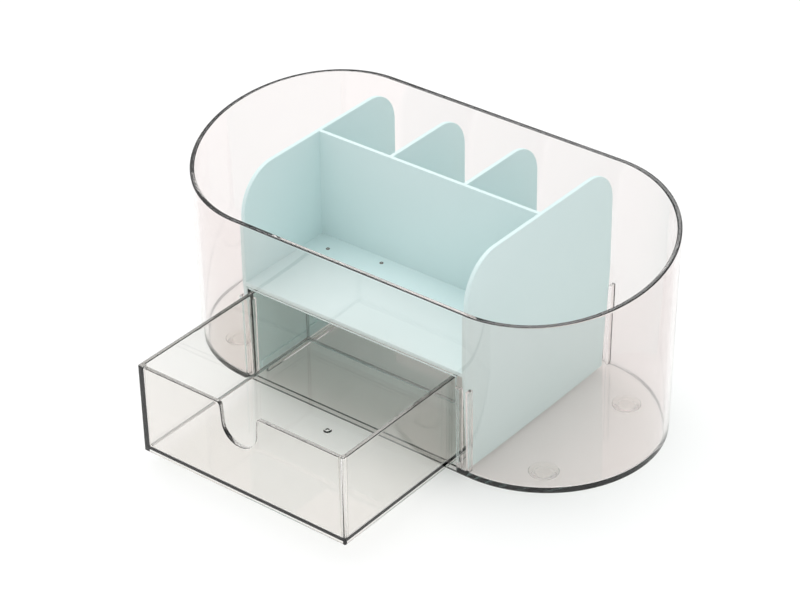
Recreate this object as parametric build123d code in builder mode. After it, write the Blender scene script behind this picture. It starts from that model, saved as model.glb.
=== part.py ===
"""Brush holder with drawer: a clear stadium-shaped casing, an insert that divides it, a clear drawer and foot pads.

Millimetres. The origin is the centre of the casing's footprint on the table, X runs along the length,
the drawer opens towards -Y and Z is up. The drawer stands pulled out, as it is photographed.
"""

import os
from math import cos, radians, sin, tan

from build123d import *

# Foot pads
pad_height = 1.2
pad_base_radius = 7.0
pad_tip_radius = 4.8
pad_across = 90.0
pad_deep = 33.0

# Casing
casing_length = 250.0
casing_depth = 118.0
casing_wall = 2.2
casing_floor = 2.2
casing_draft = 0.88
rim_front_height = 87.2
rim_back_height = 111.2
rim_round = 0.5

# Drawer opening in the casing's front wall
opening_half_width = 59.7
opening_top = 53.3
opening_step = 0.9

# Guide ribs on the front and the rear wall, with the insert's side panels between them
rib_top = 46.5
inner_rib_edge = 61.4
inner_rib_width = 1.4
inner_rib_depth = 1.4
outer_rib_edge = 64.4
outer_rib_width = 1.6
outer_rib_depth = 2.4

# Runners on the casing's floor that carry the drawer
runner_height = 2.7
runner_middle = 57.2
runner_width = 1.2
runner_front = -50.0
runner_back = 52.0

# Insert
insert_thickness = 2.0
panel_outside = 64.0
panel_front = -55.6
panel_back = 54.4
panel_foot_setback = 3.6
panel_top = 110.0
panel_front_round = 21.0
panel_back_round = 18.0
deck_top = 55.2
cross_wall_front = -1.7
divider_middle = 21.0
ledge_depth = 1.0
ledge_top = 9.2
ledge_front = -50.0
ledge_back = 48.0

# Drawer
drawer_width = 117.0
drawer_depth = 115.0
drawer_bottom = 6.3
drawer_height = 45.8
drawer_wall = 2.2
drawer_recess = 0.8
drawer_floor = 1.6
drawer_draft = 0.5
drawer_outer_corner = 0.6
drawer_inner_corner = 1.0
drawer_floor_round = 0.8
drawer_proud = 0.8
drawer_pulled_out = 74.2

# Finger notch in the drawer's front
notch_depth = 19.0
notch_bottom_radius = 9.6
notch_lean = 4.0
notch_lip_round = 2.0

# Worked out from the sizes above
sides = (-1, 1)
half_depth = casing_depth / 2
end_centre = (casing_length - casing_depth) / 2
rim_middle_height = (rim_front_height + rim_back_height) / 2
rim_rise = rim_back_height - rim_front_height
floor_top = pad_height + casing_floor
outer_inset = (rim_middle_height - pad_height) * tan(radians(casing_draft))
inner_inset = (rim_middle_height - floor_top) * tan(radians(casing_draft)) + casing_wall
inner_half_depth = half_depth - inner_inset
wall_middle = inner_half_depth + casing_wall / 2
deck_bottom = deck_top - insert_thickness
panel_middle = panel_outside - insert_thickness / 2
drawer_top = drawer_bottom + drawer_height
drawer_front = -half_depth - drawer_proud - drawer_pulled_out
drawer_middle = drawer_front + drawer_depth / 2
inside_trim = 2 * (drawer_height * tan(radians(drawer_draft)) + drawer_wall)
notch_arcs = notch_bottom_radius + notch_lip_round
notch_side = (notch_depth - notch_arcs * (1 - sin(radians(notch_lean)))) / cos(radians(notch_lean))
notch_start = notch_arcs * cos(radians(notch_lean)) + notch_side * sin(radians(notch_lean))

os.makedirs("parts", exist_ok=True)


def save(piece, name):
    """Names a finished piece and writes it to its own file."""
    piece.part.label = name
    export_step(piece.part, f"parts/{name}.step")


def add_box(x_range, y_range, z_range, mode=Mode.ADD):
    """Adds a box to the current part, or cuts it away, between three pairs of limits."""
    low, size = zip(*((start, end - start) for start, end in (x_range, y_range, z_range)))
    with Locations(low):
        Box(*size, align=(Align.MIN, Align.MIN, Align.MIN), mode=mode)


def both_sides(near, far):
    """The X limits of a feature and of its mirror image, from its edges nearer to and further from the middle."""
    return ((-far, -near), (near, far))


# Casing: a drafted cup with a sloping rim, guide ribs, runners and the drawer's opening
with BuildPart() as casing:
    with BuildSketch(Plane.XY.offset(pad_height)):
        SlotCenterToCenter(2 * end_centre, 2 * (half_depth - outer_inset))
    extrude(amount=rim_back_height, taper=-casing_draft)
    with BuildSketch(Plane.XY.offset(floor_top)):
        SlotCenterToCenter(2 * end_centre, 2 * inner_half_depth)
    extrude(amount=rim_back_height, taper=-casing_draft, mode=Mode.SUBTRACT)

    with BuildSketch(Plane.YZ):
        with BuildLine():
            Polyline(
                (-casing_depth, rim_middle_height - rim_rise),
                (casing_depth, rim_middle_height + rim_rise),
                (-casing_depth, rim_middle_height + rim_rise),
                close=True,
            )
        make_face()
    extrude(amount=casing_length, both=True, mode=Mode.SUBTRACT)
    rim = casing.faces().sort_by(Axis.Z)[-1]
    fillet(rim.edges(), radius=rim_round)

    add_box(
        (-opening_half_width, opening_half_width),
        (-casing_depth, -inner_half_depth),
        (floor_top - opening_step, opening_top),
        Mode.SUBTRACT,
    )
    for x_range in both_sides(inner_rib_edge - inner_rib_width, inner_rib_edge):
        add_box(x_range, (-wall_middle, inner_rib_depth - inner_half_depth), (floor_top, rib_top))
        add_box(x_range, (inner_half_depth - inner_rib_depth, wall_middle), (floor_top, rib_top))
    for x_range in both_sides(outer_rib_edge, outer_rib_edge + outer_rib_width):
        add_box(x_range, (-wall_middle, outer_rib_depth - inner_half_depth), (floor_top, rib_top))
        add_box(x_range, (inner_half_depth - outer_rib_depth, wall_middle), (floor_top, rib_top))
    for x_range in both_sides(runner_middle - runner_width / 2, runner_middle + runner_width / 2):
        add_box(x_range, (runner_front, runner_back), (floor_top, floor_top + runner_height))
save(casing, "casing")

# Foot pads: flat-topped domes that stick to the underside, near the four corners
for row, y in (("front", -pad_deep), ("rear", pad_deep)):
    for side, x in (("left", -pad_across), ("right", pad_across)):
        with BuildPart() as foot_pad:
            with BuildSketch(Plane((x, y, 0))):
                Circle(pad_tip_radius)
            with BuildSketch(Plane((x, y, pad_height))):
                Circle(pad_base_radius)
            loft()
        save(foot_pad, f"foot_pad_{row}_{side}")

# Insert: two side panels, a deck over the drawer, a cross wall and two dividers, in one moulding
with BuildPart() as insert:
    for side in sides:
        with BuildSketch(Plane.YZ.offset(side * panel_middle)):
            with BuildLine():
                front = Polyline(
                    (panel_front + panel_foot_setback, floor_top),
                    (panel_front, deck_top),
                    (panel_front, panel_top - panel_front_round),
                )
                JernArc(front @ 1, (0, 1), panel_front_round, -90)
                back = Polyline(
                    (panel_back - panel_foot_setback, floor_top),
                    (panel_back, deck_top),
                    (panel_back, panel_top - panel_back_round),
                )
                JernArc(back @ 1, (0, 1), panel_back_round, 90)
                Line((panel_front + panel_front_round, panel_top), (panel_back - panel_back_round, panel_top))
                Line(front @ 0, back @ 0)
            make_face()
        extrude(amount=insert_thickness / 2, both=True)
    add_box((-panel_middle, panel_middle), (panel_front, panel_back), (deck_bottom, deck_top))
    add_box(
        (-panel_middle, panel_middle),
        (cross_wall_front, cross_wall_front + insert_thickness),
        (deck_top, panel_top),
    )
    for side in sides:
        with BuildSketch(Plane.YZ.offset(side * divider_middle)):
            with BuildLine():
                back = Line((panel_back, deck_top), (panel_back, panel_top - panel_back_round))
                top = JernArc(back @ 1, (0, 1), panel_back_round, 90)
                Polyline(top @ 1, (cross_wall_front, panel_top), (cross_wall_front, deck_top), back @ 0)
            make_face()
        extrude(amount=insert_thickness / 2, both=True)
    for x_range in both_sides(panel_middle - insert_thickness / 2 - ledge_depth, panel_middle):
        add_box(x_range, (ledge_front, ledge_back), (floor_top, ledge_top))
save(insert, "insert")

# Drawer: a drafted tray with a shallow recess under its floor and a U-shaped finger notch in its front
with BuildPart() as drawer:
    with BuildSketch(Plane((0, drawer_middle, drawer_bottom))):
        RectangleRounded(
            drawer_width - inside_trim + 2 * drawer_wall,
            drawer_depth - inside_trim + 2 * drawer_wall,
            drawer_outer_corner,
        )
    extrude(amount=drawer_height, taper=-drawer_draft)
    with BuildSketch(Plane((0, drawer_middle, drawer_bottom + drawer_recess + drawer_floor))):
        RectangleRounded(drawer_width - inside_trim, drawer_depth - inside_trim, drawer_inner_corner)
    extrude(amount=drawer_height, taper=-drawer_draft, mode=Mode.SUBTRACT)
    cavity_floor = drawer.faces().filter_by(Plane.XY).sort_by(Axis.Z)[1]
    fillet(cavity_floor.edges(), radius=drawer_floor_round)
    with BuildSketch(Plane((0, drawer_middle, drawer_bottom))):
        RectangleRounded(drawer_width - inside_trim, drawer_depth - inside_trim, drawer_inner_corner)
    extrude(amount=drawer_recess, mode=Mode.SUBTRACT)

    with BuildSketch(Plane.XZ.offset(-drawer_front - 2 * drawer_wall)):
        with BuildLine():
            lip = Polyline(
                (-notch_start, drawer_top + drawer_wall),
                (-notch_start, drawer_top),
            )
            corner = JernArc(lip @ 1, (1, 0), notch_lip_round, notch_lean - 90)
            left = Line(corner @ 1, (corner @ 1) + notch_side * (corner % 1))
            JernArc(left @ 1, left % 1, notch_bottom_radius, 90 - notch_lean)
            mirror(about=Plane.YZ)
            Line((lip @ 0), (-(lip @ 0).X, (lip @ 0).Y))
        make_face()
    extrude(amount=4 * drawer_wall, mode=Mode.SUBTRACT)
save(drawer, "drawer")
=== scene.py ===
import math

import bmesh
import bpy
import numpy as np
from mathutils import Matrix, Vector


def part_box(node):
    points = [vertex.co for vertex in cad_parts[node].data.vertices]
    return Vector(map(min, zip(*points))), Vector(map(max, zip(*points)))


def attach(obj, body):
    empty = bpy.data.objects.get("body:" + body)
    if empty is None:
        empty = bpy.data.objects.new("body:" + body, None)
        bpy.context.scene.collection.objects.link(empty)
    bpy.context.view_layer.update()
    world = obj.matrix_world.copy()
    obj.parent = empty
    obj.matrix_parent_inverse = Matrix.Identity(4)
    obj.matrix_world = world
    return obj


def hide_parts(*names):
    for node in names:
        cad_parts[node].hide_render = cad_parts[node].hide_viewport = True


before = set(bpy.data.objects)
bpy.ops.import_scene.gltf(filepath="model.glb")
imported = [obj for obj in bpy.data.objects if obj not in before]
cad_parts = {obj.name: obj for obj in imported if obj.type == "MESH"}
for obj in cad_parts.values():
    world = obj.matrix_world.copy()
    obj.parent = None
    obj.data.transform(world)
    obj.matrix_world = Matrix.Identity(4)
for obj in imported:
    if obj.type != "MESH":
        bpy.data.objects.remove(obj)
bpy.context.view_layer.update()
mm = 0.001  # shapes are worked out in millimetres and stored in metres
print("frame loaded:", sorted(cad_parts))


def boxMm(node):
    # lowest and highest corner of a CAD node, in millimetres
    low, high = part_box(node)
    return np.array(low) / mm, np.array(high) / mm


def arcSteps(count, start=0.0, end=90.0):
    # angles in equal steps from start to end, both included, given in degrees and returned in radians
    return np.radians(np.linspace(start, end, count + 1))


def gridFaces(rows, columns):
    # quads between neighbouring rows and neighbouring columns, the last column joined to the first
    across = np.arange(columns)
    low = np.arange(rows - 1)[:, None] * columns
    here = low + across[None, :]
    beside = low + ((across + 1) % columns)[None, :]
    return np.stack([here, beside, beside + columns, here + columns], axis=-1)


meshing = {"weld": 0.0008, "speck": 0.0004, "sharpAngle": 32}   # millimetres, millimetres, degrees


def newPiece(name, points, faces):
    # welds the doubled points of a grid, so that seams and poles close, and keeps edges past the angle sharp
    mesh = bpy.data.meshes.new(name)
    mesh.from_pydata((points * mm).tolist(), [], faces)
    shell = bmesh.new()
    shell.from_mesh(mesh)
    bmesh.ops.remove_doubles(shell, verts=shell.verts, dist=meshing["weld"] * mm)
    bmesh.ops.dissolve_degenerate(shell, edges=shell.edges, dist=meshing["speck"] * mm)
    openEdges = sum(not edge.is_manifold for edge in shell.edges)
    shell.to_mesh(mesh)
    shell.free()
    mesh.shade_smooth()
    mesh.set_sharp_from_angle(angle=math.radians(meshing["sharpAngle"]))
    piece = bpy.data.objects.new(name, mesh)
    bpy.context.scene.collection.objects.link(piece)
    print(f"{name}: {len(mesh.vertices)} points, {len(mesh.polygons)} faces, {openEdges} open edges")
    return piece


def mirrored(values):
    # the same places on the left side, in rising order
    return [(-x, *rest) for x, *rest in reversed(values)]


# the clear casing: a cup with leaning walls, a sloping rim and the drawer's opening
casingShape = {
    "endCentre": 66.0,               # x of the round ends' centres
    "halfDepth": 58.985,             # at the rim's middle height
    "wall": 2.2,
    "bottom": 1.2,
    "floorTop": 3.4,
    "draft": 0.88,                   # degrees, the walls lean outwards
    "rimMiddle": 99.2,
    "rimSlope": 24.0 / 118.0,        # rise over depth, the rim is higher behind
    "rimRound": 0.62,
    "bottomRound": 0.7,
    "floorRound": 1.0,
    "openingHalf": 59.7,
    "openingLow": 2.5,
    "openingHigh": 53.3,
    "ribTop": 46.5,
    "innerRib": (60.0, 61.4, 1.4),   # from x, to x, depth
    "outerRib": (64.4, 66.0, 2.4),
    "runner": (56.6, 57.8, 2.7),     # from x, to x, height
    "runnerEnds": (50.0, 52.0),      # how far it reaches to the front and to the rear
    "wallShares": (0.35, 0.7),       # heights of the wall's rows between the opening and the rim
    "hold": 0.5,                     # width of the narrow strips that keep flat faces flat beside a round
    "endSteps": 96,
    "roundSteps": 5,
}


def casingColumns(s):
    # places around the stadium, anticlockwise from above: x on its spine, outward normal, rib depth, runner
    near, far = s["runner"][:2]
    side = [(near, 0, 0), (near, 0, 1), (far, 0, 1), (far, 0, 0), (s["openingHalf"], 0, 0)]
    for start, end, depth in (s["innerRib"], s["outerRib"]):
        side += [(start, 0, 0), (start, depth, 0), (end, depth, 0), (end, 0, 0)]
    straight = mirrored(side) + side
    turn = arcSteps(s["endSteps"], -90, 90)[1:-1]
    columns = [(x, 0.0, -1.0, depth, run) for x, depth, run in straight]
    columns += [(s["endCentre"], math.cos(a), math.sin(a), 0, 0) for a in turn]
    columns += [(x, 0.0, 1.0, depth, run) for x, depth, run in reversed(straight)]
    columns += [(-s["endCentre"], -math.cos(a), -math.sin(a), 0, 0) for a in turn]
    return np.array(columns)


def makeCasing(s):
    # each row is the stadium (spine point + r * normal) at height z, and the rows run from the middle of the
    # underside, up the outside, over the sloping rim, down the inside and along the floor to the middle again
    columns = casingColumns(s)
    spineX, normalX, normalY, ribDepth, runner = columns.T
    lean = math.tan(math.radians(s["draft"]))
    ones = np.ones(len(columns))

    def outer(z):
        return s["halfDepth"] - (s["rimMiddle"] - z) * lean

    def inner(z):
        return outer(z) - s["wall"]

    def rimHeight(inset):
        # where the drafted wall meets the rim's plane z = middle + slope * y
        reach = s["rimSlope"] * normalY
        foot = s["halfDepth"] - inset - s["rimMiddle"] * lean
        return (s["rimMiddle"] + reach * foot) / (1 - reach * lean)

    rows = []

    def row(r, z):
        rows.append((r * ones, z * ones))
        return len(rows) - 1

    turns = arcSteps(s["roundSteps"])
    rho = s["bottomRound"]
    row(0, s["bottom"])
    row(outer(s["bottom"]) - rho - s["hold"], s["bottom"])
    for a in turns:
        z = s["bottom"] + rho * (1 - math.cos(a))
        row(outer(z) - rho * (1 - math.sin(a)), z)
    outerLow = row(outer(s["openingLow"]), s["openingLow"])
    outerHigh = row(outer(s["openingHigh"]), s["openingHigh"])
    rho = s["rimRound"]
    outerRim, innerRim = rimHeight(0), rimHeight(s["wall"])
    for share in s["wallShares"]:
        z = s["openingHigh"] + share * (outerRim - s["openingHigh"])
        row(outer(z), z)
    z = outerRim - rho - s["hold"]
    row(outer(z), z)
    for edge, inwards, order in ((outer(outerRim), -1, turns), (inner(innerRim), 1, turns[::-1])):
        for a in order:
            r = edge + inwards * rho * (1 - math.cos(a))
            row(r, s["rimMiddle"] + s["rimSlope"] * normalY * r - rho * (1 - math.sin(a)))
    z = innerRim - rho - s["hold"]
    row(inner(z), z)
    for share in s["wallShares"][::-1]:
        z = s["openingHigh"] + share * (innerRim - s["openingHigh"])
        row(inner(z), z)
    innerHigh = row(inner(s["openingHigh"]), s["openingHigh"])
    ribLimit = np.where(ribDepth > 0, inner(s["floorTop"]) - ribDepth, np.inf)
    row(inner(s["ribTop"]), s["ribTop"])
    row(np.minimum(inner(s["ribTop"]), ribLimit), s["ribTop"])
    rho = s["floorRound"]
    floorArc = [(s["floorTop"] + rho + s["hold"], 0)]
    floorArc += [(s["floorTop"] + rho * (1 - math.sin(a)), rho * (1 - math.cos(a))) for a in turns]
    for z, inset in floorArc:
        innerFoot = row(np.minimum(inner(z) - inset, ribLimit), z)
    row(inner(s["floorTop"]) - rho - 2 * s["hold"], s["floorTop"])
    runnerEnd = np.where(normalY < 0, s["runnerEnds"][0], s["runnerEnds"][1])
    runnerTop = s["floorTop"] + runner * s["runner"][2]
    row(runnerEnd, s["floorTop"])
    row(runnerEnd, runnerTop)
    row(0, runnerTop)

    radius, height = np.array(rows).transpose(1, 0, 2)
    points = np.stack([spineX + radius * normalX, radius * normalY, height], axis=-1)
    count = len(columns)
    quads = gridFaces(len(rows), count)
    keep = np.ones(quads.shape[:2], bool)
    left, right = (
        int(np.flatnonzero((spineX == x) & (normalY < 0))[0]) for x in (-s["openingHalf"], s["openingHalf"]))
    keep[outerLow:outerHigh, left:right] = False
    keep[innerHigh:innerFoot, left:right] = False
    faces = quads[keep].tolist()

    # the opening's reveal: a ledge below the floor, the floor's edge, the lintel and the two cheeks
    front = np.arange(left, right + 1)
    wallFoot = -inner(s["floorTop"])
    ledge = np.stack([spineX[front], wallFoot + 0 * front, s["openingLow"] + 0 * front], axis=-1)
    edge = ledge + [0, 0, s["floorTop"] - s["openingLow"]]
    start = points.shape[0] * count
    ledgeAt, edgeAt = start + np.arange(len(front)), start + len(front) + np.arange(len(front))
    points = np.concatenate([points.reshape(-1, 3), ledge, edge])

    def strip(low, high):
        faces.extend(np.stack([low[:-1], low[1:], high[1:], high[:-1]], axis=-1).tolist())

    strip(outerLow * count + front, ledgeAt)
    strip(ledgeAt, edgeAt)
    strip(edgeAt, innerFoot * count + front)
    strip(innerHigh * count + front, outerHigh * count + front)
    for column, at, turn in ((left, 0, 1), (right, -1, -1)):
        cheek = [outerLow * count + column, int(ledgeAt[at]), int(edgeAt[at])]
        cheek += [r * count + column for r in range(innerFoot, innerHigh - 1, -1)]
        cheek += [outerHigh * count + column]
        faces.append(cheek[::turn])
    return newPiece("clearCasing", points, faces)


# the clear drawer: a tray with leaning walls, a recess under its floor and a notch in its front
drawerShape = {
    "wall": 2.2,
    "recess": 0.8,            # under the floor, inside the bottom edge
    "floor": 1.6,
    "draft": 0.5,
    "outerCorner": 0.6,
    "innerCorner": 1.0,
    "floorRound": 0.8,
    "bottomRound": 0.4,
    "rimRound": 0.45,
    "hold": 0.5,
    "cornerSteps": 8,
    "roundSteps": 4,
    "notchDepth": 19.0,
    "notchBottomRadius": 9.6,
    "notchLean": 4.0,         # degrees, how far the notch's sides lean outwards
    "notchLip": 2.0,
    "notchReach": 30.0,       # half of the stretch of front wall that the notch's columns fan out over
    "notchMargin": 1.0,       # from the notch's lips to the next columns
    "lipSteps": 7,
    "bowlSteps": 16,
    "cornerSpare": 2.0,       # height whose lean keeps the straight sides' columns short of the corners
    "gatePlace": (0.0, -75.0),
    "gateRadius": 2.0,
    "gateHeight": 0.6,
    "gateSteps": 32,
    "gateProfile": ((1.0, 0), (0.85, 0.7), (0.66, 1), (0.5, 0.9), (0.3, 0.25), (0, 0.15)),   # shares of these
}


def notchPath(s, top):
    # the rim's path across the notch, left to right: lip arc, leaning side, round bottom, side and lip again.
    # each place has x, z and the direction out of the material
    lean, rho, big = math.radians(s["notchLean"]), s["notchLip"], s["notchBottomRadius"]
    side = (s["notchDepth"] - (rho + big) * (1 - math.sin(lean))) / math.cos(lean)
    start = (rho + big) * math.cos(lean) + side * math.sin(lean)
    lip = np.linspace(math.pi / 2, lean, s["lipSteps"] + 1)
    left = np.stack([rho * np.cos(lip) - start, top - rho + rho * np.sin(lip), np.cos(lip), np.sin(lip)], -1)
    bowl = np.linspace(math.pi + lean, 1.5 * math.pi, s["bowlSteps"] + 1)
    middle = top - s["notchDepth"] + big
    below = np.stack([big * np.cos(bowl), middle + big * np.sin(bowl), -np.cos(bowl), -np.sin(bowl)], -1)
    half = np.concatenate([left, below])
    return np.concatenate([half, half[-2::-1] * [-1, 1, -1, 1]])


def makeDrawer(s):
    # each row is a rounded rectangle, and the rows run from the recessed underside over the bottom edge, up
    # the outside, over the rim and down the inside to the floor; the front's rim follows the notch's path
    low, high = boxMm("drawer")
    halfWidth, halfDepth = (high[:2] - low[:2]) / 2
    middleY = (high[1] + low[1]) / 2
    bottom, top = low[2], high[2]
    lean = math.tan(math.radians(s["draft"]))
    floorTop = bottom + s["recess"] + s["floor"]
    path = notchPath(s, top)

    # columns: corner signs, normal, the place on a straight side, and the rim's x, z and outward direction
    short = s["innerCorner"] + s["wall"] + s["cornerSpare"] * lean
    spanX, spanY = halfWidth - short, halfDepth - short
    reach, margin = s["notchReach"], s["notchMargin"]
    columns = []

    def corner(signX, signY, start):
        for a in arcSteps(s["cornerSteps"], start, start + 90):
            columns.append((signX, signY, math.cos(a), math.sin(a), 0, 0, 0, top, 0, 1))

    def straight(signX, signY, alongX, alongY):
        for x, y in zip(alongX, alongY):
            columns.append((signX, signY, signX, signY, x, y, x, top, 0, 1))

    straight(0, -1, [-spanX, -reach], [0, 0])
    fan = np.linspace(-reach + margin, reach - margin, len(path) + 2)
    columns.append((0, -1, 0, -1, fan[0], 0, path[0, 0] - margin, top, 0, 1))
    for x, (rimX, rimZ, outX, outZ) in zip(fan[1:-1], path):
        columns.append((0, -1, 0, -1, x, 0, rimX, rimZ, outX, outZ))
    columns.append((0, -1, 0, -1, fan[-1], 0, path[-1, 0] + margin, top, 0, 1))
    straight(0, -1, [reach, spanX], [0, 0])
    corner(1, -1, -90)
    straight(1, 0, [0, 0], [-spanY, spanY])
    corner(1, 1, 0)
    straight(0, 1, [spanX, 0, -spanX], [0, 0, 0])
    corner(-1, 1, 90)
    straight(-1, 0, [0, 0], [spanY, -spanY])
    corner(-1, -1, 180)
    cornerX, cornerY, normalX, normalY, placeX, placeY, rimX, rimZ, outX, outZ = np.array(columns).T
    onFront = (cornerX == 0) & (cornerY == -1)

    def ring(z, inset, inside, alongX):
        # the rounded rectangle at height z, moved into the wall by inset
        grow = (z - floorTop) * lean
        foot = halfWidth - (top - floorTop) * lean, halfDepth - (top - floorTop) * lean
        if inside:
            a, b = foot[0] - s["wall"] + grow + inset, foot[1] - s["wall"] + grow + inset
            r = s["innerCorner"] + grow + inset
        else:
            a, b, r = foot[0] + grow - inset, foot[1] + grow - inset, s["outerCorner"] + grow - inset
        r = np.maximum(r, 0)
        x = np.where(cornerX != 0, cornerX * (a - r) + r * normalX, alongX)
        y = np.where(cornerY != 0, cornerY * (b - r) + r * normalY, placeY)
        return np.stack([x, y + middleY, z + 0 * x], axis=-1)

    ones = np.ones(len(columns))
    turns = arcSteps(s["roundSteps"])
    rows = []
    rho = s["bottomRound"]
    for z, inset in (
        (bottom + s["recess"], s["wall"] + s["hold"]), (bottom + s["recess"], s["wall"]),
        (bottom, s["wall"]), (bottom, rho + s["hold"]),
    ):
        rows.append(ring(z * ones, inset, False, placeX))
    for a in turns:
        rows.append(ring((bottom + rho * (1 - math.cos(a))) * ones, rho * (1 - math.sin(a)), False, placeX))
    rows.append(ring((bottom + rho + s["hold"]) * ones, 0, False, placeX))
    rho = s["rimRound"]

    def rimRow(depth, inset, inside):
        rows.append(ring(rimZ - depth * outZ, inset, inside, np.where(onFront, rimX - depth * outX, placeX)))

    rimRow(rho + 2 * s["hold"], 0, False)
    rimRow(rho + s["hold"], 0, False)
    for a in turns:
        rimRow(rho * (1 - math.sin(a)), rho * (1 - math.cos(a)), False)
    for a in turns[::-1]:
        rimRow(rho * (1 - math.sin(a)), rho * (1 - math.cos(a)), True)
    rimRow(rho + s["hold"], 0, True)
    rimRow(rho + 2 * s["hold"], 0, True)
    rho = s["floorRound"]
    rows.append(ring((floorTop + rho + s["hold"]) * ones, 0, True, placeX))
    for a in turns:
        rows.append(ring((floorTop + rho * (1 - math.sin(a))) * ones, -rho * (1 - math.cos(a)), True, placeX))
    rows.append(ring(floorTop * ones, -rho - s["hold"], True, placeX))
    points = np.array(rows)
    count = len(columns)
    faces = gridFaces(len(rows), count).reshape(-1, 4).tolist()
    faces.append(list(range(count))[::-1])

    # the gate mark is a small lathe profile on the floor, joined to the last ring by two flat halves
    gateX, gateY = s["gatePlace"]
    steps = s["gateSteps"]
    around = np.radians(-90) + 2 * math.pi * np.arange(steps) / steps
    profile = np.array(s["gateProfile"]) * [s["gateRadius"], s["gateHeight"]]
    gate = np.stack([
        gateX + profile[:, :1] * np.cos(around), gateY + profile[:, :1] * np.sin(around),
        floorTop + profile[:, 1:] + 0 * around,
    ], axis=-1)
    start, last = points.shape[0] * count, (len(rows) - 1) * count
    faces += (start + gridFaces(len(profile), steps)).reshape(-1, 4).tolist()
    frontMiddle = int(np.argmin(np.where(onFront, np.abs(rimX), np.inf)))
    rearMiddle = int(np.argmin(np.where((cornerX == 0) & (cornerY == 1), np.abs(placeX), np.inf)))
    twice = 2 * list(range(count))
    rightHalf = twice[frontMiddle:rearMiddle + 1]
    leftHalf = twice[rearMiddle:frontMiddle + count + 1]
    half = steps // 2
    faces.append([last + i for i in rightHalf] + [start + i for i in range(half, -1, -1)])
    faces.append([last + i for i in leftHalf] + [start + i % steps for i in range(steps, half - 1, -1)])
    return newPiece("clearDrawer", np.concatenate([points.reshape(-1, 3), gate.reshape(-1, 3)]), faces)


# the mint insert: thin plates with rounded edges that run into one another
insertShape = {
    "thickness": 2.0,
    "edgeRound": 0.3,
    "edgeSteps": 4,
    "capInset": 0.25,         # from the edge's round to the flat faces
    "panelOutside": 64.0,
    "frontY": -55.6,
    "backY": 54.4,
    "footSetback": 3.6,
    "floorTop": 3.4,
    "top": 110.0,
    "frontRound": 21.0,
    "backRound": 18.0,
    "topSteps": 32,
    "kneeRound": 30.0,        # where the panels' edges turn from upright to leaning
    "kneeSteps": 2,
    "smallRound": 0.8,
    "smallSteps": 3,
    "cornerSteps": 4,
    "deckTop": 55.2,
    "crossFront": -1.7,
    "dividerMiddle": 21.0,
    "ledgeX": (61.0, 62.5),
    "ledgeY": (-50.0, 48.0),
    "ledgeZ": (3.4, 9.2),
    "ledgeCorner": 0.6,
    "ledgeRound": 0.25,
    "marks": ((-50.7, -11.3), (-22.8, -6.1)),   # where the mould's gates were
    "markRadius": 1.1,        # of the scorched spot
    "craterRadius": 0.99,
    "markSteps": 20,
    # share of the crater's radius, and height over the deck
    "markProfile": (
        (0, -0.4), (1, -0.4), (1, 0), (0.85, 0.2), (0.6, 0.28), (0.4, 0.1), (0.3, -0.2), (0, -0.25)),
    "sink": 0.03,             # how far hidden ends stop short of a flush face
}


def roundedOutline(corners):
    # a closed outline through corners (a, b, radius, steps), anticlockwise: each corner is an arc tangent to
    # its two sides; gives points and outward normals
    places, normals = [], []
    spots = np.array([c[:2] for c in corners], float)
    for i, (*_, radius, steps) in enumerate(corners):
        before, here, after = spots[i - 1], spots[i], spots[(i + 1) % len(spots)]
        into, out = here - before, after - here
        into, out = into / np.linalg.norm(into), out / np.linalg.norm(out)
        turn = math.atan2(into[0] * out[1] - into[1] * out[0], into @ out)
        centre = here - into * radius * math.tan(turn / 2) + np.array([-into[1], into[0]]) * radius
        first = math.atan2(-into[0], into[1])
        angles = first + np.linspace(0, turn, steps + 1)
        ray = np.stack([np.cos(angles), np.sin(angles)], axis=-1)
        places.append(centre + radius * ray)
        normals.append(ray)
    return np.concatenate(places), np.concatenate(normals)


def plate(s, corners, middle, thickness, edgeRound, place):
    # a flat plate with rounded edges: each row is the outline moved inwards by an inset, at an offset from
    # the plate's middle, and place turns outline and offset into x, y and z
    outline, normals = roundedOutline(corners)
    half, turns = thickness / 2, arcSteps(s["edgeSteps"])
    rows = [(-half, -edgeRound - s["capInset"])]
    rows += [(-half + edgeRound * (1 - math.cos(a)), -edgeRound * (1 - math.sin(a))) for a in turns]
    rows += [(-w, inset) for w, inset in rows[::-1]]
    points = [place(outline + inset * normals, middle + w) for w, inset in rows]
    count = len(outline)
    faces = gridFaces(len(rows), count).reshape(-1, 4).tolist()
    faces.append(list(range(count))[::-1])
    faces.append([(len(rows) - 1) * count + i for i in range(count)])
    return np.concatenate(points), faces


def acrossX(outline, offset):
    # the outline's (a, b) are (y, z), and the plate's thickness runs along X
    return np.stack([np.full(len(outline), offset), outline[:, 0], outline[:, 1]], axis=-1)


def acrossY(outline, offset):
    # (a, b) are (x, z), turned so that faces still point outwards
    return np.stack([-outline[:, 0], np.full(len(outline), offset), outline[:, 1]], axis=-1)


def acrossZ(outline, offset):
    # (a, b) are (x, y), and the plate lies flat
    return np.stack([outline[:, 0], outline[:, 1], np.full(len(outline), offset)], axis=-1)


def deckMark(x, y, s):
    # the low crater that a moulding gate leaves: a profile turned about an upright axis, closed below
    profile = np.array(s["markProfile"]) * [s["craterRadius"], 1]
    turns = 2 * math.pi * np.arange(s["markSteps"]) / s["markSteps"]
    points = np.stack([
        x + profile[:, :1] * np.cos(turns), y + profile[:, :1] * np.sin(turns),
        s["deckTop"] + profile[:, 1:] + 0 * turns,
    ], axis=-1)
    return points.reshape(-1, 3), gridFaces(len(profile), s["markSteps"]).reshape(-1, 4).tolist()


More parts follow.
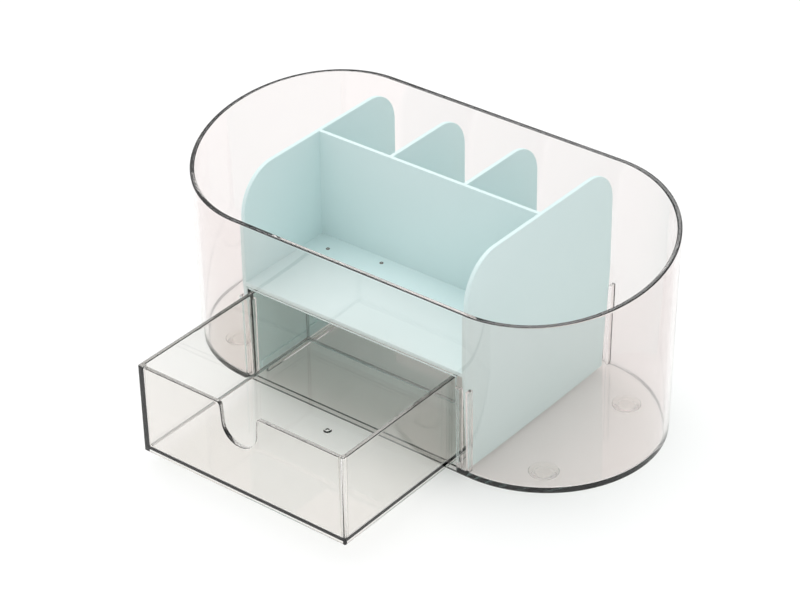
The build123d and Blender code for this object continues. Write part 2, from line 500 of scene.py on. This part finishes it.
def makeInsert(s):
    # two panels, two dividers, two ledges, the deck, the cross wall and the marks, in one mesh
    t, rho, small, sink = s["thickness"], s["edgeRound"], s["smallRound"], s["sink"]
    front, back, deck, top = s["frontY"], s["backY"], s["deckTop"], s["top"]
    panelMiddle, deckMiddle, crossMiddle = s["panelOutside"] - t / 2, deck - t / 2, s["crossFront"] + t / 2
    steps, smallSteps, topSteps = s["cornerSteps"], s["smallSteps"], s["topSteps"]
    panel = [
        (front + s["footSetback"], s["floorTop"], small, steps),
        (back - s["footSetback"], s["floorTop"], small, steps),
        (back, deck, s["kneeRound"], s["kneeSteps"]),
        (back, top, s["backRound"], topSteps),
        (front, top, s["frontRound"], topSteps),
        (front, deck, s["kneeRound"], s["kneeSteps"]),
    ]
    divider = [
        (crossMiddle, deckMiddle, small, smallSteps),
        (back, deckMiddle, small, smallSteps),
        (back, top - sink, s["backRound"], topSteps),
        (crossMiddle, top - sink, small, smallSteps),
    ]
    (ledgeNear, ledgeFar), (y0, y1), (z0, z1) = s["ledgeX"], s["ledgeY"], s["ledgeZ"]
    ledgeCorners = ((y0, z0 + sink), (y1, z0 + sink), (y1, z1), (y0, z1))
    ledge = [(y, z, s["ledgeCorner"], smallSteps) for y, z in ledgeCorners]
    ledgeMiddle, ledgeWidth = (ledgeNear + ledgeFar) / 2, ledgeFar - ledgeNear
    pieces = []
    for side in (-1, 1):
        pieces.append(plate(s, panel, side * panelMiddle, t, rho, acrossX))
        pieces.append(plate(s, divider, side * s["dividerMiddle"], t, rho, acrossX))
        pieces.append(plate(s, ledge, side * ledgeMiddle, ledgeWidth, s["ledgeRound"], acrossX))
    deckCorners = ((-panelMiddle, front), (panelMiddle, front), (panelMiddle, back), (-panelMiddle, back))
    pieces.append(plate(s, [(x, y, small, steps) for x, y in deckCorners], deckMiddle, t, rho, acrossZ))
    crossCorners = (
        (-panelMiddle, deckMiddle), (panelMiddle, deckMiddle),
        (panelMiddle, top - sink), (-panelMiddle, top - sink),
    )
    pieces.append(plate(s, [(x, z, small, steps) for x, z in crossCorners], crossMiddle, t, rho, acrossY))
    pieces += [deckMark(x, y, s) for x, y in s["marks"]]
    faces, start = [], 0
    for spots, quads in pieces:
        faces += [[start + i for i in face] for face in quads]
        start += len(spots)
    piece = newPiece("mintInsert", np.concatenate([spots for spots, quads in pieces]), faces)

    # the attribute is 1 within a mark's radius, and the material scorches the plastic there
    places = np.empty(3 * len(piece.data.vertices))
    piece.data.vertices.foreach_get("co", places)
    places = places.reshape(-1, 3) / mm
    away = [np.linalg.norm(places - [x, y, deck], axis=1) for x, y in s["marks"]]
    scorch = piece.data.attributes.new("scorch", "FLOAT", "POINT")
    scorch.data.foreach_set("value", (np.min(away, axis=0) < s["markRadius"]).astype(float))
    return piece


# the foot pads: low clear domes with a groove round the tip and a chamfered rim
padShape = {
    "tipInset": 2.2,          # how much smaller in radius the tip is than the base
    "gap": 0.03,              # under the casing
    "steps": 64,
    # radius from the tip's edge, and height over the table
    "tipProfile": ((-1.1, 0), (-0.95, 0.28), (-0.65, 0.28), (-0.5, 0), (-0.1, 0.05), (0.05, 0.2)),
    # radius from the base's edge, and height from the pad's top
    "baseProfile": ((-0.5, -0.5), (-0.3, -0.45), (-0.05, -0.2), (-0.02, -0.05), (-0.12, 0), (-0.6, 0)),
}


def makePad(node, s):
    # a profile (radius, height) turned about the pad's own upright axis
    low, high = boxMm(node)
    centre, base = (low + high) / 2, (high[0] - low[0]) / 2
    tip, height = base - s["tipInset"], high[2] - s["gap"]
    profile = [(0, 0), *((tip + r, z) for r, z in s["tipProfile"])]
    profile += [*((base + r, height + z) for r, z in s["baseProfile"]), (0, height)]
    turns = np.linspace(0, 2 * math.pi, s["steps"], endpoint=False)
    radius, z = np.array(profile).T
    points = np.stack([
        centre[0] + radius[:, None] * np.cos(turns), centre[1] + radius[:, None] * np.sin(turns),
        z[:, None] + 0 * turns,
    ], axis=-1)
    faces = gridFaces(len(profile), s["steps"]).reshape(-1, 4).tolist()
    return newPiece("clear_" + node, points.reshape(-1, 3), faces)


casing = makeCasing(casingShape)
drawer = makeDrawer(drawerShape)
insert = makeInsert(insertShape)
padNodes = [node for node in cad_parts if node.startswith("foot_pad")]
pads = {node: makePad(node, padShape) for node in sorted(padNodes)}
print("pieces made")


def linear(hexCode):
    # sRGB hex to linear: c / 12.92 in the toe, ((c + 0.055) / 1.055) ^ 2.4 above it
    values = [int(hexCode[i:i + 2], 16) / 255 for i in (1, 3, 5)]
    return tuple(v / 12.92 if v <= 0.04045 else ((v + 0.055) / 1.055) ** 2.4 for v in values) + (1.0,)


def addNode(tree, kind, links=None, **settings):
    # one node, with its settings by name and its inputs from other nodes' outputs or plain values
    node = tree.nodes.new(kind)
    for name, value in settings.items():
        setattr(node, name, value)
    for socket, value in (links or {}).items():
        if isinstance(value, bpy.types.NodeSocket):
            tree.links.new(value, node.inputs[socket])
        else:
            node.inputs[socket].default_value = value
    return node


def newMaterial(name):
    material = bpy.data.materials.new(name)
    material.use_nodes = True
    material.node_tree.nodes.clear()
    return material, material.node_tree


clearFinish = {
    "tint": "#FAF8F6",
    "ior": 1.58,
    "roughness": 0.012,
    "shadowTint": "#FCFCFB",
    "depthTint": "#7C766E",   # what long paths through edges and rims turn to
    "depthDensity": 14.0,     # per metre
    "wavePitch": 28.0,        # millimetres
    "waveDepth": 0.02,
}
casingFinish = {**clearFinish, "tint": "#F6F1F0", "depthDensity": 2.5}   # a little pinker
padFinish = {**clearFinish, "tint": "#FEFEFD", "ior": 1.5, "roughness": 0.03, "wavePitch": 6.0}


def clearPlastic(name, f):
    # injection-moulded clear polystyrene: glass-clear and glossy, a breath of warm grey, faint flow waves and
    # darker edges. The pads' cast polyurethane is softer in gloss and almost without colour.
    # Light for shadows passes straight through, a little dimmed
    material, tree = newMaterial(name)
    place = addNode(tree, "ShaderNodeTexCoord")
    waves = addNode(tree, "ShaderNodeTexNoise", {"Vector": place.outputs["Object"],
                                                 "Scale": 1 / (f["wavePitch"] * mm), "Detail": 1.0})
    bump = addNode(tree, "ShaderNodeBump", {"Height": waves.outputs["Fac"], "Strength": 1.0,
                                            "Distance": f["waveDepth"] * mm})
    clear = addNode(tree, "ShaderNodeBsdfPrincipled", {
        "Base Color": linear(f["tint"]), "IOR": f["ior"], "Roughness": f["roughness"],
        "Transmission Weight": 1.0, "Normal": bump.outputs["Normal"]})
    through = addNode(tree, "ShaderNodeBsdfTransparent", {"Color": linear(f["shadowTint"])})
    path = addNode(tree, "ShaderNodeLightPath")
    soft = addNode(tree, "ShaderNodeMath", {
        0: path.outputs["Is Shadow Ray"], 1: path.outputs["Is Diffuse Ray"]}, operation="MAXIMUM")
    mix = addNode(tree, "ShaderNodeMixShader", {
        0: soft.outputs[0], 1: clear.outputs[0], 2: through.outputs[0]})
    depth = addNode(tree, "ShaderNodeVolumeAbsorption", {"Color": linear(f["depthTint"]),
                                                         "Density": f["depthDensity"]})
    addNode(tree, "ShaderNodeOutputMaterial", {"Surface": mix.outputs[0], "Volume": depth.outputs[0]})
    return material


mintFinish = {
    "colour": "#DAECEC",
    "shade": "#D5E9E9",
    "scorch": "#6A5A50",
    "ior": 1.5,
    "roughness": 0.42,
    "grainPitch": 0.35,       # millimetres
    "grainDepth": 0.01,
    "grainStrength": 0.3,
    "cloudPitch": 40.0,
}


def mintPlastic(name, f):
    # opaque moulded plastic, pale mint, with a fine satin grain that softens its highlights; of a Mix node's
    # sockets for colours, 6 and 7 are what it mixes, and output 2 is the result
    material, tree = newMaterial(name)
    place = addNode(tree, "ShaderNodeTexCoord")
    cloud = addNode(tree, "ShaderNodeTexNoise", {"Vector": place.outputs["Object"],
                                                 "Scale": 1 / (f["cloudPitch"] * mm), "Detail": 2.0})
    clouded = addNode(tree, "ShaderNodeMix", {
        0: cloud.outputs["Fac"], 6: linear(f["colour"]), 7: linear(f["shade"])}, data_type="RGBA")
    burnt = addNode(tree, "ShaderNodeAttribute", attribute_name="scorch")
    colour = addNode(tree, "ShaderNodeMix", {
        0: burnt.outputs["Fac"], 6: clouded.outputs[2], 7: linear(f["scorch"])}, data_type="RGBA")
    grain = addNode(tree, "ShaderNodeTexNoise", {"Vector": place.outputs["Object"],
                                                 "Scale": 1 / (f["grainPitch"] * mm), "Detail": 1.0})
    bump = addNode(tree, "ShaderNodeBump", {"Height": grain.outputs["Fac"], "Strength": f["grainStrength"],
                                            "Distance": f["grainDepth"] * mm})
    body = addNode(tree, "ShaderNodeBsdfPrincipled", {
        "Base Color": colour.outputs[2], "IOR": f["ior"], "Roughness": f["roughness"],
        "Normal": bump.outputs["Normal"]})
    addNode(tree, "ShaderNodeOutputMaterial", {"Surface": body.outputs[0]})
    return material


polystyrene = clearPlastic("injectionMouldedClearPolystyrene", clearFinish)
casingPolystyrene = clearPlastic("casingClearPolystyrene", casingFinish)
padSoft = clearPlastic("clearPolyurethaneBumper", padFinish)
mint = mintPlastic("mouldedMintPlastic", mintFinish)
for piece, material, body, node, slot in (
    (casing, casingPolystyrene, "casing", "casing", "clear_plastic"),
    (drawer, polystyrene, "drawer", "drawer", "clear_plastic"),
    (insert, mint, "insert", "insert", "mint_plastic"),
    *((pad, padSoft, "casing", node, "clear_pad") for node, pad in pads.items()),
):
    piece.data.materials.append(material)
    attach(piece, body)
    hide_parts(node)
print("materials set")


# the white room round the part, its floor and its two lamps
studio = {
    "floorHalf": 6.0,             # metres
    "floorAlbedo": 0.92,          # white under this light
    "glowFrom": 0.7,              # metres from the middle, where the lamps begin to fall off
    "glowFull": 2.5,
    "farGlow": 0.36,              # keeps the far floor as white as the near one, only for what is seen
    "roomWhite": 1.0,
    "roomDark": 0.35,             # behind the camera
    "roomFade": (0.1, 0.75),      # cosines of the angle to the camera between which the room gets dark
    "ambient": 0.74,
    "lamp": {"place": (-0.8, 0.35, 2.4), "size": 2.0, "power": 33.0},
    "fill": {"place": (1.4, -0.9, 1.3), "size": 1.0, "power": 3.0},
    "lampAim": (0, 0, 0.05),
}


def seenRays(tree):
    # 1 for rays that the camera sends, or that gloss or clear plastic passes on
    path = addNode(tree, "ShaderNodeLightPath")
    first = addNode(tree, "ShaderNodeMath", {
        0: path.outputs["Is Camera Ray"], 1: path.outputs["Is Glossy Ray"]}, operation="MAXIMUM")
    every = addNode(tree, "ShaderNodeMath", {
        0: first.outputs[0], 1: path.outputs["Is Transmission Ray"]}, operation="MAXIMUM")
    return every.outputs[0]


def makeFloor(s):
    # a matt white floor that keeps the shadow; far out it glows a little, for seen rays only
    half = s["floorHalf"]
    mesh = bpy.data.meshes.new("floor")
    corners = [(-half, -half, 0), (half, -half, 0), (half, half, 0), (-half, half, 0)]
    mesh.from_pydata(corners, [], [(0, 1, 2, 3)])
    floor = bpy.data.objects.new("floor", mesh)
    bpy.context.scene.collection.objects.link(floor)
    material, tree = newMaterial("paleStudioFloor")
    matt = addNode(tree, "ShaderNodeBsdfDiffuse", {"Color": (s["floorAlbedo"],) * 3 + (1,)})
    place = addNode(tree, "ShaderNodeTexCoord")
    away = addNode(tree, "ShaderNodeVectorMath", {0: place.outputs["Object"]}, operation="LENGTH")
    strength = addNode(tree, "ShaderNodeMapRange", {
        "Value": away.outputs["Value"], "From Min": s["glowFrom"], "From Max": s["glowFull"],
        "To Min": 0.0, "To Max": s["farGlow"]})
    glow = addNode(tree, "ShaderNodeEmission", {"Strength": strength.outputs[0]})
    both = addNode(tree, "ShaderNodeAddShader", {0: matt.outputs[0], 1: glow.outputs[0]})
    mix = addNode(tree, "ShaderNodeMixShader", {
        0: seenRays(tree), 1: matt.outputs[0], 2: both.outputs[0]})
    addNode(tree, "ShaderNodeOutputMaterial", {"Surface": mix.outputs[0]})
    mesh.materials.append(material)


def makeRoom(s, towardsCamera):
    # white all round for what is seen, fading to a dim room behind the camera; an even light otherwise
    world = bpy.data.worlds.new("studioRoom")
    bpy.context.scene.world = world
    world.use_nodes = True
    tree = world.node_tree
    tree.nodes.clear()
    place = addNode(tree, "ShaderNodeTexCoord")
    facing = addNode(tree, "ShaderNodeVectorMath", {0: place.outputs["Generated"], 1: towardsCamera},
                     operation="DOT_PRODUCT")
    room = addNode(tree, "ShaderNodeMapRange", {
        "Value": facing.outputs["Value"], "From Min": s["roomFade"][0], "From Max": s["roomFade"][1],
        "To Min": s["roomWhite"], "To Max": s["roomDark"]})
    strength = addNode(tree, "ShaderNodeMix", {0: seenRays(tree), 2: s["ambient"], 3: room.outputs[0]})
    back = addNode(tree, "ShaderNodeBackground", {"Color": (1, 1, 1, 1), "Strength": strength.outputs[0]})
    addNode(tree, "ShaderNodeOutputWorld", {"Surface": back.outputs[0]})


def makeLamp(name, s, target):
    # a square soft light turned towards the target
    data = bpy.data.lights.new(name, "AREA")
    data.size = s["size"]
    data.energy = s["power"]
    lamp = bpy.data.objects.new(name, data)
    lamp.location = s["place"]
    aim = np.array(target) - np.array(s["place"])
    tilt, heading = math.acos(-aim[2] / np.linalg.norm(aim)), math.atan2(aim[1], aim[0])
    lamp.rotation_euler = (tilt, 0, heading - math.pi / 2)
    bpy.context.scene.collection.objects.link(lamp)


# where the photograph was taken from
cameraView = {
    "azimuth": 38.52,                # degrees, from the drawer's side towards the right
    "elevation": 32.39,
    "roll": -0.73,
    "distance": 1267.1,              # millimetres from the target
    "target": (-11.48, -4.6, 40.0),
    "focalPixels": 2727.8,
    "imageWidth": 800,
    "imageHeight": 600,
    "centre": (403.07, 297.2),       # of the lens's axis, in pixels
    "sensorWidth": 36.0,
}


def makeCamera(v):
    # returns the direction from the target to the camera
    az, el, roll = (math.radians(v[k]) for k in ("azimuth", "elevation", "roll"))
    back = np.array([math.sin(az) * math.cos(el), -math.cos(az) * math.cos(el), math.sin(el)])
    right = np.array([math.cos(az), math.sin(az), 0.0])
    up = np.cross(back, right)
    turnedRight = right * math.cos(roll) + up * math.sin(roll)
    turnedUp = up * math.cos(roll) - right * math.sin(roll)
    spot = (np.array(v["target"]) + v["distance"] * back) * mm
    data = bpy.data.cameras.new("camera")
    data.sensor_width = v["sensorWidth"]
    data.lens = v["focalPixels"] * data.sensor_width / v["imageWidth"]
    data.shift_x = (v["imageWidth"] / 2 - v["centre"][0]) / v["imageWidth"]
    data.shift_y = (v["centre"][1] - v["imageHeight"] / 2) / v["imageWidth"]
    camera = bpy.data.objects.new("camera", data)
    matrix = np.eye(4)
    matrix[:3, :3] = np.stack([turnedRight, turnedUp, back], axis=-1)
    matrix[:3, 3] = spot
    camera.matrix_world = Matrix(matrix.tolist())
    bpy.context.scene.collection.objects.link(camera)
    bpy.context.scene.camera = camera
    return tuple(back)


towardsCamera = makeCamera(cameraView)
makeFloor(studio)
makeRoom(studio, towardsCamera)
makeLamp("overheadSoftbox", studio["lamp"], studio["lampAim"])
makeLamp("frontFill", studio["fill"], studio["lampAim"])

# clear walls in front of one another need long light paths
scene = bpy.context.scene
scene.view_settings.view_transform = "Standard"
scene.cycles.max_bounces = 48
scene.cycles.transmission_bounces = 48
scene.cycles.glossy_bounces = 12
scene.cycles.transparent_max_bounces = 24
print("stage set")
